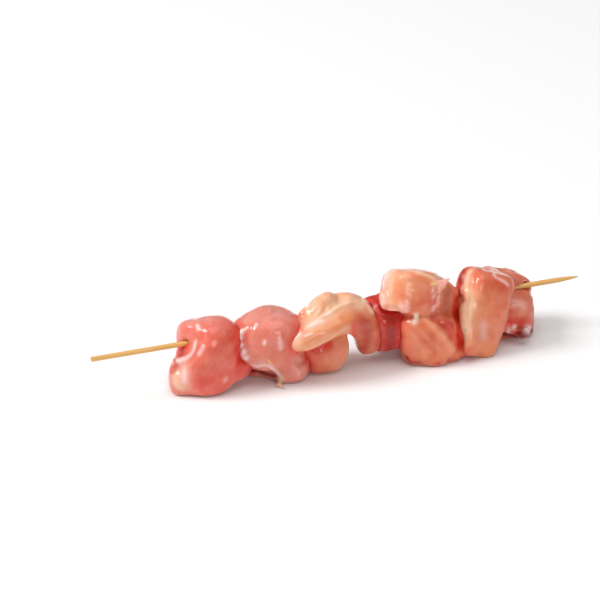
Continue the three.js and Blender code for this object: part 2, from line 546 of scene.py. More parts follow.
# %% [markdown]
# ## A brush for folds and tints
# Folds, lips and torn edges are what tell a cut of meat from a lump of clay. A sculptor would drag
# a brush over the mesh. Here a `stroke` drops its spots onto the meat, joins them by a smooth line,
# and raises or sinks the skin near that line, with a tint if wanted. It fades towards its ends. A
# `dab` doesn't, and a `wash` only tints.

# %% A brush for folds and tints
LINE_STEPS = 12  # points on a stroke's line between two spots
GLINT_LEAN = (0.4, 1.2)  # right and up from a glint bump's foot to its head


def smooth_line(points):
    """A Catmull-Rom curve through the points."""
    if len(points) < 2:
        return points
    ends = np.vstack([2 * points[0] - points[1], points, 2 * points[-1] - points[-2]])
    t = np.linspace(0, 1, LINE_STEPS, endpoint=False)[:, None]
    line = []
    for a, b, c, d in zip(ends, ends[1:], ends[2:], ends[3:]):
        line.append(0.5 * (2 * b + (c - a) * t + (2 * a - 5 * b + 4 * c - d) * t ** 2
                           + (3 * b - a - 3 * c + d) * t ** 3))
    return np.vstack([*line, points[-1:]])


def fall_off(points, line, wide, taper):
    """For each point: its share of the stroke, the vector from the line to it, the line's way there."""
    gaps = np.linalg.norm(points[:, None] - line[None], axis=2)
    at = gaps.argmin(axis=1)
    share = np.exp(-(gaps.min(axis=1) / (wide * MM)) ** 2)
    way = np.gradient(line, axis=0) if len(line) > 1 else np.tile([1.0, 0, 0], (1, 1))
    way = way / np.linalg.norm(way, axis=1, keepdims=True)
    if taper and len(line) > 1:
        along = at / (len(line) - 1)
        share *= eased(along, -0.02, 0.2) * eased(-along, -1.02, -0.8)
    return share, points - line[at], way[at]


def stroke(piece, spots, wide, high=0.0, tint=None, strength=1.0, lip=False, ray=sight, taper=True):
    """Raises (or with a negative high sinks) the skin along a line, in millimetres. With lip, the
    left-hand side of the line rises to an edge and the right-hand side drops in a crease."""
    line = smooth_line(dropped(piece, spots, ray))
    if not len(line):
        return
    points, normals = places(piece), outward(piece)
    near = np.linalg.norm(points[:, None] - line[None, ::4], axis=2).min(axis=1) < 4 * wide * MM
    share, offset, way = fall_off(points[near], line, wide, taper)
    looking = np.array(ray(*spots[0])[1])
    # skin that is turned away from the eye is moved and tinted far less
    facing = 0.15 + 0.85 * eased(normals[near] @ -looking, -0.3, 0.3)
    rise = share
    if lip:
        side = np.einsum("ij,ij->i", offset, np.cross(looking, way)) / (wide * MM)
        rise = share * (eased(side, -0.5, 0.3) - 0.7 * eased(-side, -0.1, 0.9))
    points[near] += normals[near] * (rise * facing * high * MM)[:, None]
    place(piece, points)
    if tint:
        amount = np.zeros(len(points))
        amount[near] = strength * share * facing
        paint(piece, tint, amount)


def dab(piece, spots, wide, high=0.0, tint=None, strength=1.0, ray=sight):
    stroke(piece, spots, wide, high, tint, strength, ray=ray, taper=False)


def wash(piece, spots, wide, tint, strength=1.0, ray=sight):
    dab(piece, spots, wide, 0.0, tint, strength, ray)


def glint_bumps(piece, spots, wide, high, tint=None, strength=0.6):
    """Small raised spots that catch the light. A tint, where given, is painted on them, and a pale one there
    is often a painted glint.
    """
    for right, up in spots:
        head = (right + GLINT_LEAN[0], up + GLINT_LEAN[1])
        dab(piece, [(right, up), head], wide, high, tint, strength)


print("brush ready")

# %% [markdown]
# ## The first cut
# It wraps round the skewer. A lip of flesh curls up below the bamboo, and a foot spreads where it
# meets the surface. Light and shade are painted into its colours: a paler top, a painted highlight on
# the foot, painted glints on the lip and shoulder, and red painted shade low down, in the valley by
# the second cut and in the hollow below the bamboo.

# %% The first cut
cut_1 = meat["chicken_1"]
# painted light and shade: a paler top, redder low down, and deep red in the valley by the next cut and the
# hollow below the bamboo
wash(cut_1, [(-76, -3), (-68, -1), (-58, -2)], 6, "blush", 0.6)
wash(cut_1, [(-70, -31), (-62, -31), (-52, -28), (-47, -26)], 4.5, "painted_shade_glow", 0.5)
wash(cut_1, [(-68, -25), (-60, -22), (-55, -14)], 6, "salmon", 0.35)
wash(cut_1, [(-51, -3), (-50.5, -12), (-48, -21)], 4, "painted_shade_glow", 0.85)
wash(cut_1, [(-77.5, -13), (-73.5, -15.5)], 2.6, "red", 0.5)
# painted highlight: the foot, where the key light falls, painted pale
wash(cut_1, [(-74.7, -25), (-75, -31)], 4, "shell", 0.9)
wash(cut_1, [(-79, -28), (-79, -32), (-76, -34)], 2.8, "cream", 0.7)
wash(cut_1, [(-74.8, -27), (-75, -30.5)], 1.3, "film_and_painted_glint", 0.5)
# the lip is raised, and its glint painted on as a pale line
LIP = [(-69.6, -12), (-70.4, -15.5), (-72.2, -18.4), (-75, -20.2), (-78.6, -21.2)]
dab(cut_1, LIP, wide=1.5, high=2)
wash(cut_1, LIP, 0.75, "film_and_painted_glint", 0.95)
wash(cut_1, [(-75.5, -20.6), (-78.4, -21.2)], 1.2, "film_and_painted_glint", 0.7)
# painted shade in the hollow below the bamboo
dab(cut_1, [(-72.5, -14.4), (-75, -15.6), (-77.5, -17)], wide=2.2, high=1, tint="painted_shade_glow", strength=0.5)
# painted glints on the shoulder and lower down
dab(cut_1, [(-68.6, -3), (-68.2, -6.5)], wide=2.4, high=0.7)
wash(cut_1, [(-68.7, -3.9), (-68.3, -5.6)], 1.1, "film_and_painted_glint", 0.7)
dab(cut_1, [(-65.7, -14.5), (-67.4, -17.8)], wide=1, high=0.5, tint="film_and_painted_glint", strength=0.55)
stroke(cut_1, [(-60, -3), (-61, -14), (-66, -27)], wide=6, high=0.9)
dab(cut_1, [(-80.8, -25.8), (-80, -25.4)], wide=1.2, high=-1)
stroke(cut_1, [(-50, -13), (-47, -22)], wide=2.5, high=-0.9)
stroke(cut_1, [(-57.5, -22), (-56.5, -30)], wide=1.8, high=0.4)
glint_bumps(cut_1, [(-55.4, -30.5)], wide=1.3, high=0.5, tint="shell")
print("first cut marked")

# %% [markdown]
# ## The second cut
# A ball with a film of silverskin round its left rim and its lower edge, whose shine is partly
# painted on. Small bumps along the rim carry painted glints, a painted sheen lies on its top, and
# dark red painted shade fills the recess below the film.

# %% The second cut
cut_2 = meat["chicken_2"]
# a painted sheen on the top
wash(cut_2, [(-44, 0), (-36, 1.5), (-26, 0)], 6, "blush", 0.8)
# painted shade: dark red in the recess below the film
wash(cut_2, [(-43.5, -25.5), (-37, -26.5), (-31, -28.5)], 1.9, "wine")
wash(cut_2, [(-24, -24), (-19, -28)], 4, "blush", 0.5)
wash(cut_2, [(-40, -18), (-31, -18), (-22, -20)], 5, "clay", 0.45)
# the rim's film, with its shine and the sheen below it partly painted
stroke(cut_2, [(-46, -5), (-48, -9), (-48.3, -14), (-46.5, -19), (-44, -22)],
       wide=1.4, high=0.8, tint="film_and_painted_glint", strength=0.6)
stroke(cut_2, [(-44.5, -21.8), (-40.5, -23.4), (-36.4, -22.9), (-33, -24.3), (-30.3, -26.5), (-26, -31)],
       wide=1.1, high=0.9, lip=True, tint="film_and_painted_glint", strength=0.6)
wash(cut_2, [(-46, -17), (-43, -21), (-38, -22)], 2, "shell", 0.4)
stroke(cut_2, [(-34.9, -20.4), (-33.8, -21.8), (-32.8, -23.2)], wide=0.6, high=0.4, tint="butter",
       strength=0.6)
wash(cut_2, [(-28.5, -30), (-29.6, -32.4), (-28, -33.4)], 1.8, "beige")
stroke(cut_2, [(-23.5, -19), (-19.5, -22), (-17, -21)], wide=1.2, high=-0.6)
stroke(cut_2, [(-24.5, -23), (-21, -25.5), (-19.5, -28)], wide=1.1, high=0.6, tint="shell", strength=0.5)
stroke(cut_2, [(-26.5, -14), (-25, -20), (-22, -25.5)], wide=2, high=-0.6, tint="coral", strength=0.4)
dab(cut_2, [(-46, -7.2), (-44.6, -4.8)], wide=1.3, high=0.6)
dab(cut_2, [(-41.3, -6), (-40.4, -3.2)], wide=1.3, high=0.6)
dab(cut_2, [(-28.9, -11.5), (-28.4, -15)], wide=1.3, high=0.5)
glint_bumps(cut_2, [(-36.3, -12.7), (-34, 2)], wide=1.3, high=0.6)
# painted glints on the bumps along the rim
glint_bumps(cut_2, [(-47.6, -7.5), (-48.4, -10.9), (-47.8, -14.2), (-46.6, -17.2), (-45.3, -20.2)],
            wide=0.9, high=0.5, tint="film_and_painted_glint", strength=0.95)
# painted glints on the wet face
PAINTED_GLINTS = [
    ([(-41.2, -5.4), (-40.4, -3.2)], 0.8, 0.8),
    ([(-36.6, -12.9), (-36.3, -11.9)], 0.8, 0.8),
    ([(-28.9, -11.8), (-28.4, -14.8)], 1.4, 0.45),
    ([(-45.8, -5.9), (-44.8, -4.9)], 0.8, 0.8),
]
for spots, wide, strength in PAINTED_GLINTS:
    wash(cut_2, spots, wide, "film_and_painted_glint", strength)
print("second cut marked, with", len(PAINTED_GLINTS), "wet spots")

# %% [markdown]
# ## The third cut, tints first
# A strip folded over the skewer. Its upper side, where the light falls, is painted cream, its front
# is a fresh knife face, and its far end hangs down as a leg painted darker as shade. The lobe below
# its tip is painted deeper in colour as shade under the flap.

# %% The third cut, tints first
cut_3 = meat["chicken_3"]
# painted light: the lit upper side in cream
wash(cut_3, [(-17, 1), (-8, 7), (2, 9), (9, 7)], 5, "cream", 0.5)
wash(cut_3, [(-19, -11), (-8, -3), (2, 3), (10, 6)], 5, "cream", 0.3)
wash(cut_3, [(-20, -14.5), (-12, -10), (-3, -4), (4, 1)], 3.4, "apricot", 0.7)
wash(cut_3, [(-23, -13), (-20, -13)], 3, "cream", 0.5)
# painted shade on the leg
wash(cut_3, [(9, 1), (13, -1.5)], 4, "salmon", 0.6)
wash(cut_3, [(11, -4), (13, -7), (12.5, -11), (10.5, -16)], 5.2, "rust", 0.9)
wash(cut_3, [(16, 0), (16.8, -7)], 1.5, "clay", 0.6)
# painted shade on the lobe under the flap and in the gap by the leg
wash(cut_3, [(-10, -19), (-3, -15), (0, -22), (-8, -26)], 7, "coral", 0.5)
wash(cut_3, [(-12, -17), (-5, -20), (-8, -26)], 5, "salmon", 0.5)
wash(cut_3, [(3, -10), (3.5, -16), (0, -24)], 2.5, "peach", 0.6)
wash(cut_3, [(-13, -16), (-9, -14.5), (-5, -13)], 2.5, "painted_shade_glow", 0.8)
wash(cut_3, [(6.4, -4.5), (6, -9)], 2.2, "painted_shade_glow", 0.8)
print("third cut tinted")

# %% [markdown]
# ## The third cut's edges
# The sharp edge between its upper side and its front runs from the tip up to the fold, with a
# painted highlight and painted glints along it. A notch parts two bumps on top.

# %% The third cut's edges
# the edge raised, with a painted highlight along it
stroke(cut_3, [(-18.5, -6.5), (-14, -3.3), (-6.5, 1.8), (0.5, 5.8), (7.5, 7.5)],
       wide=1.8, high=0.8, lip=True, tint="cream", strength=0.8)
stroke(cut_3, [(-15.5, -13.5), (-8, -7.5), (0, -1.5)], wide=3, high=-0.5)
stroke(cut_3, [(-19, -17), (-8.5, -12), (-1, -7.5), (4.5, -4)], wide=1.1, high=0.5, tint="cream",
       strength=0.4)
dab(cut_3, [(-19.5, 1)], wide=3.2, high=-2.2)
dab(cut_3, [(-0.6, 10.4), (-1.4, 9.4)], wide=2.6, high=-1.9)
stroke(cut_3, [(-2, 9), (-5, 5.5), (-9, 3)], wide=2.2, high=-0.5)
dab(cut_3, [(-6.2, 10), (-9.5, 8)], wide=4, high=1.8)
dab(cut_3, [(5, 9.8), (4, 8)], wide=2.8, high=0.6)
stroke(cut_3, [(9.5, 8.5), (13, 5), (16, 0)], wide=2.2, high=0.8, tint="cream")
stroke(cut_3, [(-12.5, -16.5), (-8, -14.5)], wide=1.8, high=-0.7)
# painted glints along the edge and on the upper side
wash(cut_3, [(-14.6, -4.2), (-11.5, -2.7), (-8.6, -1.6)], 0.8, "film_and_painted_glint", 0.9)
wash(cut_3, [(-17.2, -9.2), (-13.8, -8)], 0.6, "film_and_painted_glint", 0.7)
wash(cut_3, [(-21, -9.6), (-19.4, -8.4)], 1.2, "film_and_painted_glint", 0.6)
wash(cut_3, [(-6.6, 1.5), (-5.4, 2.2)], 1.0, "film_and_painted_glint", 0.85)
glint_bumps(cut_3, [(-12, -0.3), (-10.5, 1.5), (-13, 3), (-6, 3.2)], wide=0.9, high=0.4, tint="cream")
glint_bumps(cut_3, [(-16.2, 4.2), (-15.6, 5.2)], wide=0.9, high=0.4, tint="film_and_painted_glint", strength=0.7)
print("third cut folded")

# %% [markdown]
# ## The fourth cut
# A small one, squeezed in behind its neighbours. Its dark colour is painted shade, deepest low down.

# %% The fourth cut
cut_4 = meat["chicken_4"]
# painted shade, deepest low down
wash(cut_4, [(18, 2), (21, -6), (22, -12)], 7, "painted_deep_shade", 0.3)
wash(cut_4, [(15.5, 4.2), (16.5, 6)], 1.2, "film_and_painted_glint", 0.35)
dab(cut_4, [(15, 7), (18, 8.5), (22, 8)], wide=5, high=-1.2)
dab(cut_4, [(19, 8), (22, 6), (26, 3.5)], wide=2.8, high=-1)
print("fourth cut marked")

# %% [markdown]
# ## The fifth cut, tints first
# The largest one. Its upper block has knife faces painted pale where the light falls, its lower
# lobe is apricot with streaks along the fibres, and dark red painted shade lies in the seam where it
# meets the sixth cut and along its lower edges.

# %% The fifth cut, tints first
cut_5 = meat["chicken_5"]
# painted light: the lit block pale, palest by its left rim
wash(cut_5, [(24, 16), (33, 15), (41, 14)], 6, "peach", 0.9)
wash(cut_5, [(24, 19), (24, 10), (26, 6)], 4, "cream", 0.6)
wash(cut_5, [(33, 10), (38, 12), (44, 10)], 3.5, "orange", 0.7)
wash(cut_5, [(43, 13), (44.5, 9), (43, 5)], 2.8, "coral", 0.7)
wash(cut_5, [(38, 6), (42, 8)], 2, "coral", 0.4)
wash(cut_5, [(31, -10), (37, -14)], 5.5, "peach", 0.45)
wash(cut_5, [(36, -8), (41, -12)], 5, "salmon", 0.4)
wash(cut_5, [(40, -18), (50, -18), (60, -17)], 3, "apricot", 0.4)
# painted shade along the bottom
wash(cut_5, [(34, -22), (44, -23), (54, -21)], 2.4, "rust", 0.35)
STREAKS = [
    ((30.5, -3), (41, -19), "peach", 0.35),
    ((33, -3), (45, -17), "salmon", 0.45),
    ((36, -4), (49, -18), "peach", 0.3),
    ((29, -9), (35, -19), "coral", 0.4),
]
BOW_RIGHT, BOW_DOWN = 1, 0.8  # how far a streak bends in its middle
for start, end, tint, strength in STREAKS:
    middle = ((start[0] + end[0]) / 2 + BOW_RIGHT, (start[1] + end[1]) / 2 - BOW_DOWN)
    wash(cut_5, [start, middle, end], 1.3, tint, strength)
# painted shade in the seam by the sixth cut
wash(cut_5, [(52, 12), (51.5, 4), (52, -2)], 4, "brick", 0.6)
wash(cut_5, [(52.5, -5), (55, -10), (57, -14)], 4, "painted_shade_glow", 0.5)
wash(cut_5, [(55.5, 8), (56, 0), (58, -9)], 2.8, "red", 0.9)
dab(cut_5, [(57, 0), (58, -6), (58.8, -11), (59.3, -14.5)], wide=3, high=-2, tint="painted_shade_glow", strength=0.6)
# painted shade along the lowest edge and below the block's right corner
wash(cut_5, [(28.8, -15), (30.5, -19), (34, -21.5), (38, -22)], 1.4, "painted_deep_shade", 0.8)
wash(cut_5, [(47, 3), (45, -2)], 3.5, "rust", 0.5)
print("fifth cut tinted, with", len(STREAKS), "streaks")

# %% [markdown]
# ## The fifth cut's block and seam
# A film rims the upper block, its shine painted on as a pale highlight, and the block's lower left
# corner hangs over the fourth cut. Its lower edge lifts in two lips. A muscle seam runs slantwise
# down the front, its ridge painted lighter and its groove red as light and shade, and the lowest
# edge is ragged, its nicks painted dark as shade.

# %% The fifth cut's block and seam
stroke(cut_5, [(51, 16), (51, 9), (49.5, 0)], wide=2.5, high=-1)
# the rim's film, with a painted highlight along it
wash(cut_5, [(25.5, 21.5), (22.5, 18), (20.8, 13)], 2.0, "film_and_painted_glint", 0.6)
stroke(cut_5, [(29.5, 22.3), (25.3, 21.9), (22.2, 18.3), (20.2, 13)], wide=1.4, high=0.7,
       tint="film_and_painted_glint", strength=0.9)
stroke(cut_5, [(28, 22.4), (37, 21.5), (44, 18.8), (47.5, 16.5)], wide=1.4, high=0.6, tint="cream",
       strength=0.9)
dab(cut_5, [(24.2, 20.8), (23.4, 19.5)], wide=3.2, high=1.2)
dab(cut_5, [(21.8, 8.5), (24.6, 5)], wide=2.6, high=1.7)
wash(cut_5, [(24, 21), (27, 20), (30, 21)], 3, "cream", 0.4)
wash(cut_5, [(29, 16), (31, 10), (28, 7)], 5, "peach", 0.5)
# painted highlight on the block's left rim
dab(cut_5, [(21.4, 11), (21.2, 8), (22, 5.6)], wide=2.6, high=2.6, tint="shell", strength=0.3)
wash(cut_5, [(20.6, 10), (20.2, 6)], 1.2, "film_and_painted_glint", 0.6)
stroke(cut_5, [(22, 4.4), (26, 3.6), (30, 4)], wide=1.2, high=0.9, lip=True, tint="shell", strength=0.5)
stroke(cut_5, [(42, 3), (45, 5), (46.4, 8.6), (47.6, 13)], wide=1.2, high=0.9, lip=True, tint="shell",
       strength=0.35)
wash(cut_5, [(31, 1.8), (36, 1.2), (41, 1)], 2.4, "orange", 0.7)
# painted light on the seam's ridge and painted shade in its groove
stroke(cut_5, [(38, 0.3), (44.2, -4.5), (48, -8.2), (51.5, -12.5), (56, -18)], wide=1.8, high=1.1,
       tint="peach", strength=0.8)
stroke(cut_5, [(42, 1), (49, -3.5), (54.5, -11)], wide=1.8, high=-1, tint="red", strength=0.5)
stroke(cut_5, [(43, -6), (44.5, -11), (45.5, -17), (44.5, -21)], wide=1.5, high=-0.5, tint="salmon",
       strength=0.5)
stroke(cut_5, [(28.5, -3), (30.5, -10), (34, -16)], wide=2, high=-0.5)
# nicks in the lowest edge, each with painted dark shade
RAGGED_EDGE = [
    ((30, -16), 0.9),
    ((31.6, -19.6), -1.1),
    ((34, -21.8), 0.8),
    ((47, -22.4), -0.8),
    ((52, -21), -0.9),
    ((56, -20), 0.9),
]
for spot, high in RAGGED_EDGE:
    dab(cut_5, [spot], wide=1.3, high=high, tint="painted_deep_shade", strength=0.4)
print("fifth cut folded, with", len(RAGGED_EDGE), "nicks in its edge")

# %% [markdown]
# ## The fifth cut's fat and torn edge
# Small pale bumps follow the torn right edge of the block, and a knob of fat sits on the seam.

# %% The fifth cut's fat and torn edge
wash(cut_5, [(36.2, 1.2), (36.4, -0.8), (35.1, -2.8)], 1.5, "cream", 0.8)
wash(cut_5, [(36.2, 0.8), (35.4, -2.4)], 0.9, "film_and_painted_glint", 0.7)
wash(cut_5, [(36, -1.2)], 0.8, "butter", 0.4)
wash(cut_5, [(48, 15.5), (50.5, 17.5), (52, 18.3)], 2, "shell")
glint_bumps(cut_5, [(28.9, 4.6), (31.5, 2.8), (32, 5.6), (29.8, 2.4)], wide=1.4, high=0.9, tint="shell",
            strength=0.9)
glint_bumps(cut_5, [(29.6, -1.2)], wide=1.1, high=0.7, tint="film_and_painted_glint", strength=0.8)
dab(cut_5, [(44.2, 15.8), (46, 16.2)], wide=0.9, high=0.4, tint="butter", strength=0.9)
glint_bumps(cut_5, [(44.2, 12.5), (47.2, 12.5), (44.6, 9.5), (46.4, 8.6), (46.6, 5.6), (44.6, 3.4)],
            wide=1, high=0.6, tint="shell", strength=0.7)
print("fat and torn edge done")

# %% [markdown]
# ## The sixth cut
# A slab with knife-cut sides. Its left face, where the key light falls, is painted as a pale cream
# band, and its left edge comes out over the fifth cut.

# %% The sixth cut
cut_6 = meat["chicken_6"]
dab(cut_6, [(60.3, 3), (60.6, -2), (61.3, -7), (61.8, -11), (62, -15)], wide=4.2, high=2.3)
dab(cut_6, [(57.5, 17.5), (57, 13), (57.6, 8)], wide=2.4, high=-1.2)
# painted shade on the top-left corner, down in the seam by the fifth cut
wash(cut_6, [(59, 22), (57.5, 18), (56.5, 12)], 2.6, "painted_deep_shade", 0.9)
# the lower left face in the band's lit colour
wash(cut_6, [(58.5, 8), (58, 0), (57.5, -8)], 2.6, "peach")
wash(cut_6, [(66, 22.5), (72, 21), (77, 17)], 4.5, "salmon")
# painted highlight: the lit left face as a pale band
wash(cut_6, [(65, 12), (64.5, 7), (63.5, 0), (62, -9)], 2.4, "cream", 0.5)
wash(cut_6, [(62, 21.5), (61, 8), (59.5, -8)], 2.3, "cream")
stroke(cut_6, [(64, 21), (63, 8), (61, -9)], wide=1.1, high=0.5, tint="cream", strength=0.9)
wash(cut_6, [(66, 2), (65, -8)], 3, "peach", 0.7)
wash(cut_6, [(60, -12), (66, -14.5), (71, -15.5)], 4, "apricot", 0.8)
# more of the painted highlight on the lower left face
wash(cut_6, [(60, 5), (59.3, -4), (59.5, -12)], 2.2, "cream", 0.6)
# a soft painted highlight on the front
wash(cut_6, [(68.7, -4), (68.7, -9)], 2.5, "shell", 0.7)
wash(cut_6, [(68, 10), (70, 2)], 3, "apricot", 0.5)
wash(cut_6, [(70, 19), (76, 14), (80, 9)], 4, "salmon", 0.6)
stroke(cut_6, [(82, 8), (78.5, 2), (75.5, -6), (73, -13)], wide=1.3, high=0.5, tint="blush", strength=0.4)
stroke(cut_6, [(71.5, 22.6), (74, 19.8), (78.5, 17), (82, 14.4)], wide=0.9, high=0.5, tint="film_and_painted_glint",
       strength=0.6)
print("sixth cut marked")

# %% [markdown]
# ## The seventh cut
# A rounded end. Its lower edge curls under, painted dark red as the shade beneath it, and ends in
# pale knobs with painted glints. A soft painted highlight lies on its face.

# %% The seventh cut
cut_7 = meat["chicken_7"]
dab(cut_7, [(80, 22.4), (84.5, 20.6), (88, 18.6)], wide=4, high=-1.7)
wash(cut_7, [(84, 18), (90, 14), (92, 8)], 5, "rust", 0.35)
wash(cut_7, [(80, 5), (87, 3), (93, 3)], 5, "salmon", 0.5)
wash(cut_7, [(84, 1), (88, 0)], 3, "orange", 0.6)
# painted shade in the crease and under the curled edge
wash(cut_7, [(80, -2), (86, -2.5), (92, -2)], 2.6, "painted_shade_glow", 0.8)
wash(cut_7, [(77, -7.4), (81, -8), (86, -8), (91, -7)], 1.4, "painted_deep_shade")
wash(cut_7, [(87, -8.4), (89.5, -7.6)], 1.6, "wine", 0.9)
# a soft painted highlight
dab(cut_7, [(84, 6.5), (87, 5.8)], wide=2.6, high=0.7, tint="shell", strength=0.8)
stroke(cut_7, [(79, 0), (84, -2), (91, -1)], wide=1.6, high=-0.7)
# painted dark shade under the curl
dab(cut_7, [(77, -9), (80, -9.5), (84, -9.5)], wide=2.2, high=-1.8, tint="wine")
dab(cut_7, [(87.5, -8.8), (91, -7.4)], wide=2.8, high=1.1, tint="wine", strength=0.6)
wash(cut_7, [(84, -9.6), (88, -9.4), (92, -7.6)], 1.3, "wine")
# pale knobs with painted glints
glint_bumps(cut_7, [(77.4, -6.6), (80.5, -7.2), (83.2, -5.6)], wide=1, high=0.5, tint="film_and_painted_glint", strength=0.8)
glint_bumps(cut_7, [(89.3, -6.4)], wide=1.7, high=0.9, tint="film_and_painted_glint", strength=0.9)
print("seventh cut marked")

# %% [markdown]
# ## The far side and the end
# The sides away from the camera get the same kinds of marks: creases where muscles meet, painted
# red as shade, edges of film, and tints that vary from cut to cut. Each row of the tables starts with
# its cut's number.

# %% The far side and the end
behind = sight_from(160, 25)
beyond_point = sight_from(90, 15)
# sunk creases carry painted shade in their tint
BACK_CREASES = [
    (1, [(58, 12), (63, 2), (61, -12)], 1.8, -1.0, "red", 0.5),
    (1, [(70, 16), (74, 6), (73, -6)], 1.4, 0.8, "shell", 0.5),
    (2, [(32, 9), (36, 3), (34, -6), (38, -14)], 1.8, -1.1, "red", 0.5),
    (2, [(44, 9), (46, 2), (44, -6)], 1.2, 0.9, "film_and_painted_glint", 0.5),
    (3, [(5, -4), (11, -9), (16, -17)], 1.6, -0.9, "coral", 0.7),
    (4, [(-20, 1), (-15, -8), (-16, -17)], 1.6, -0.8, "painted_deep_shade", 0.6),
    (5, [(-47, 9), (-44.5, 4), (-40, 2.5), (-38, -1)], 1.3, 0.8, "shell", 0.5),
    (5, [(-49, 0), (-41, -7), (-34, -16), (-32, -24)], 1.8, -1.1, "red", 0.6),
    (5, [(-44, -4), (-37, -14), (-36, -22)], 1.3, 0.8, "peach", 0.6),
    (6, [(-72, 6), (-66, -6), (-58, -16)], 1.6, -0.9, "rust", 0.5),
    (6, [(-56, -4), (-54, -18)], 1.2, 0.8, "cream", 0.7),
    (7, [(-84.5, -11), (-80.5, -16), (-81, -21)], 1.2, 0.8, "film_and_painted_glint", 0.5),
    (7, [(-78, -19), (-76.5, -27), (-79, -37)], 1.7, -1.0, "red", 0.5),
]
BACK_WASHES = [
    (1, [(66, 14), (70, 8)], 5, "blush", 0.6),
    (1, [(66, -8), (74, -10)], 5, "peach", 0.6),
    (2, [(38, 12), (40, 8)], 5, "blush", 0.7),
    (2, [(44, -12), (38, -18)], 4, "salmon", 0.5),
    (3, [(8, -14), (14, -18)], 5, "coral", 0.6),
    (5, [(-44, 14), (-32, 12)], 5, "peach", 0.7),
    (5, [(-48, -8), (-50, -18)], 5, "salmon", 0.6),
    (5, [(-48, 15.2), (-46.5, 13.5)], 2, "shell", 0.9),
    (5, [(-28, -2), (-29, -11)], 4, "coral", 0.6),
    (6, [(-74, 2), (-70, -6)], 5, "salmon", 0.6),
    (7, [(-88, -24), (-88, -34)], 5, "blush", 0.6),
    (7, [(-74, -22), (-73, -32)], 4, "coral", 0.6),
]
for cut, spots, wide, tint, strength in BACK_WASHES:
    wash(meat["chicken_%d" % cut], spots, wide, tint, strength, ray=behind)
for cut, spots, wide, high, tint, strength in BACK_CREASES:
    stroke(meat["chicken_%d" % cut], spots, wide, high, tint, strength, lip=high > 0, ray=behind)
dab(cut_7, [(-79, -9.5), (-85, -12), (-91, -16)], wide=4.5, high=-1.5, ray=behind)

wash(cut_7, [(-8, -36), (4, -40)], 5, "blush", 0.7, ray=beyond_point)
wash(cut_7, [(9, -27), (10, -36)], 4, "salmon", 0.6, ray=beyond_point)
# painted shade in the creases on the point's side
stroke(cut_7, [(-9, -31), (-2, -34), (4, -33), (11, -38)], 1.6, -1.0, "red", 0.5, ray=beyond_point)
stroke(cut_7, [(11, -24), (12.5, -30), (11, -35)], 1.1, 0.6, "film_and_painted_glint", 0.4, lip=True, ray=beyond_point)
# painted shade in a crease
stroke(cut_6, [(-14, -9), (-17, -20), (-19, -32)], 1.6, -0.9, "red", 0.4, ray=beyond_point)
print("far side marked:", len(BACK_CREASES), "lines,", len(BACK_WASHES), "tints")

# %% [markdown]
# ## Muscle relief
# Breast muscle is a bundle of fibres: its skin swells unevenly and, under the wet film, shows fine
# parallel grain. Slow noise swells the skin. Noise that is stretched along the fibres draws the
# grain. The underside stays pressed flat, and nothing leaves the solid model's box.

# %% Muscle relief
def waves(points, size, seed, stretch=1.0, along=Vector((0, 0, 1))):
    """Smooth noise from -1 to 1. size: of one swelling, in metres. stretch: longer along the fibres."""
    shift = Vector((17.3 * seed, 5.1 * seed, 9.7 * seed))
    squeeze = (1 / stretch - 1) / size
    values = np.empty(len(points))
    for i, p in enumerate(points.tolist()):
        q = Vector(p)
        values[i] = noise.noise(q / size + squeeze * q.dot(along) * along + shift)
    return values


FIBRES = {
    "chicken_1": Vector((0.25, 0.1, 1)),
    "chicken_2": Vector((0.6, 0.2, 1)),
    "chicken_3": Vector((1, 0.3, 0.35)),
    "chicken_4": Vector((0.1, 0.3, 1)),
    "chicken_5": Vector((1, 0, -0.5)),
    "chicken_6": Vector((0.1, 0.2, 1)),
    "chicken_7": Vector((0.3, 0.1, 1)),
}
SWELL_SIZE, SWELL_HIGH = 11 * MM, 0.5 * MM
LUMP_SIZE, LUMP_HIGH = 5 * MM, 0.18 * MM
GRAIN_SIZE, GRAIN_HIGH, GRAIN_STRETCH = 1.6 * MM, 0.06 * MM, 6

for seed, (node, piece) in enumerate(meat.items(), start=1):
    points, normals = places(piece), outward(piece)
    fibre = FIBRES[node].normalized()
    relief = SWELL_HIGH * waves(points, SWELL_SIZE, seed)
    relief += LUMP_HIGH * waves(points, LUMP_SIZE, seed + 10, 1.6, fibre)
    relief += GRAIN_HIGH * waves(points, GRAIN_SIZE, seed + 20, GRAIN_STRETCH, fibre)
    relief *= eased(from_axis(points), HOLE_NEAR, HOLE_FAR)
    points = gripping(points + normals * relief[:, None])
    place(piece, np.clip(points, np.array(cad_box[0]), np.array(cad_box[1])))
    only(piece)
    bpy.ops.object.shade_smooth()
print("relief raised on", len(meat), "cuts")

# %% [markdown]
# ## Wet raw chicken breast
# Raw breast is a pink translucent jelly of muscle under a film of moisture. Subsurface scattering
# gives the soft glow, red light travelling furthest. A thin clear coat gives the sharp wet glints
# over a duller body. The colour comes from the painted layer. Clouds and fibre lines make it deeper
# or paler by a power, so that dark flesh stays saturated.

# %% Wet raw chicken breast
MOTTLE_SIZE = 6 * MM
FIBRE_WIDTH = 1.3 * MM  # real fibre bundles are finer and wouldn't show from a step away
FIBRE_SQUEEZE = 0.12
RIPPLE_SIZE = 2.4 * MM
WET_FLESH = {
    "Roughness": 0.5,
    "IOR": 1.36,
    "Specular IOR Level": 0.15,
    "Subsurface Weight": 0.7,
    "Subsurface Radius": (1.0, 0.3, 0.2),
    "Subsurface Scale": 2.5 * MM,
    "Coat Weight": 1.0,
    "Coat Roughness": 0.07,
    "Coat IOR": 1.46,
}


